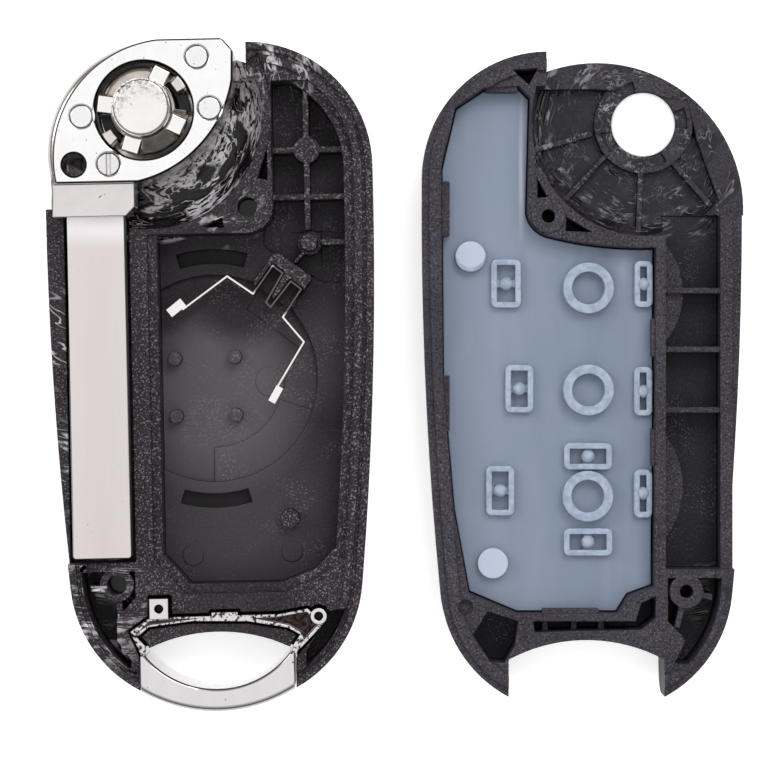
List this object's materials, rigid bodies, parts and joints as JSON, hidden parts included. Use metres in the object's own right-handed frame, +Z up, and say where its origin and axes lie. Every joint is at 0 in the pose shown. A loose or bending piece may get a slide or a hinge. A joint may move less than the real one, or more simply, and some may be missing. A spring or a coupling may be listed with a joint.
{
  "type": "key fob shell",
  "caption": "Opened flip key fob shell lying flat: rear half with folding blade, release button and key-ring loop, front half with silicone key pad.",
  "frame": {"origin": "middle of the two halves as they lie side by side, on the surface that they lie on", "axes": "+Z up out of the open halves, +Y towards the button end, +X from the rear half to the front half"},
  "size_m": [0.0846, 0.0802, 0.0163],
  "materials": {
    "shell_plastic": "fine grained, satin on the inner floors",
    "loop_chrome": "bright plated",
    "contact_metal": "thin spring strip",
    "hub_plastic": "plain",
    "head_chrome": "satin plated die casting",
    "plate_chrome": "bright with small specks",
    "blade_steel": "satin",
    "pin_steel": "turned",
    "spring_steel": "drawn wire",
    "button_chrome": "bright plated",
    "bezel_chrome": "bright plated",
    "pad_silicone": "translucent",
    "key_plastic": "satin"
  },
  "bodies": {
    "shell": {"rear_housing": "shell_plastic", "front_housing": "shell_plastic", "key_ring_loop": "loop_chrome", "battery_contact": "contact_metal", "pivot_hub": "hub_plastic", "button_bezel": "bezel_chrome", "button_pad": "pad_silicone"},
    "blade_unit": {"head_body": "head_chrome", "head_plate": "plate_chrome", "head_rivets": "plate_chrome", "blade": "blade_steel", "blade_pin": "pin_steel", "flip_spring": "spring_steel"},
    "release_button": {"release_button": "button_chrome"},
    "key_top": {"key_top": "key_plastic"},
    "key_middle": {"key_middle": "key_plastic"},
    "key_bottom": {"key_bottom": "key_plastic"}
  },
  "joints": [
    {"name": "blade_flip", "type": "hinge", "parent": "shell", "child": "blade_unit", "pos_m": [-0.02991, 0.03147, 0.008], "axis": [0, 0, -1], "range_deg": [0, 180]},
    {"name": "release_press", "type": "slide", "parent": "blade_unit", "child": "release_button", "axis": [0, 0, -1], "range_m": [0, 0.002], "stiffness_N_per_m": 1500, "deforming": ["flip_spring"]},
    {"name": "key_top_press", "type": "slide", "parent": "shell", "child": "key_top", "axis": [0, 0, 1], "range_m": [0, 0.0008], "stiffness_N_per_m": 2000},
    {"name": "key_middle_press", "type": "slide", "parent": "shell", "child": "key_middle", "axis": [0, 0, 1], "range_m": [0, 0.0008], "stiffness_N_per_m": 2000},
    {"name": "key_bottom_press", "type": "slide", "parent": "shell", "child": "key_bottom", "axis": [0, 0, 1], "range_m": [0, 0.0008], "stiffness_N_per_m": 2000}
  ]
}
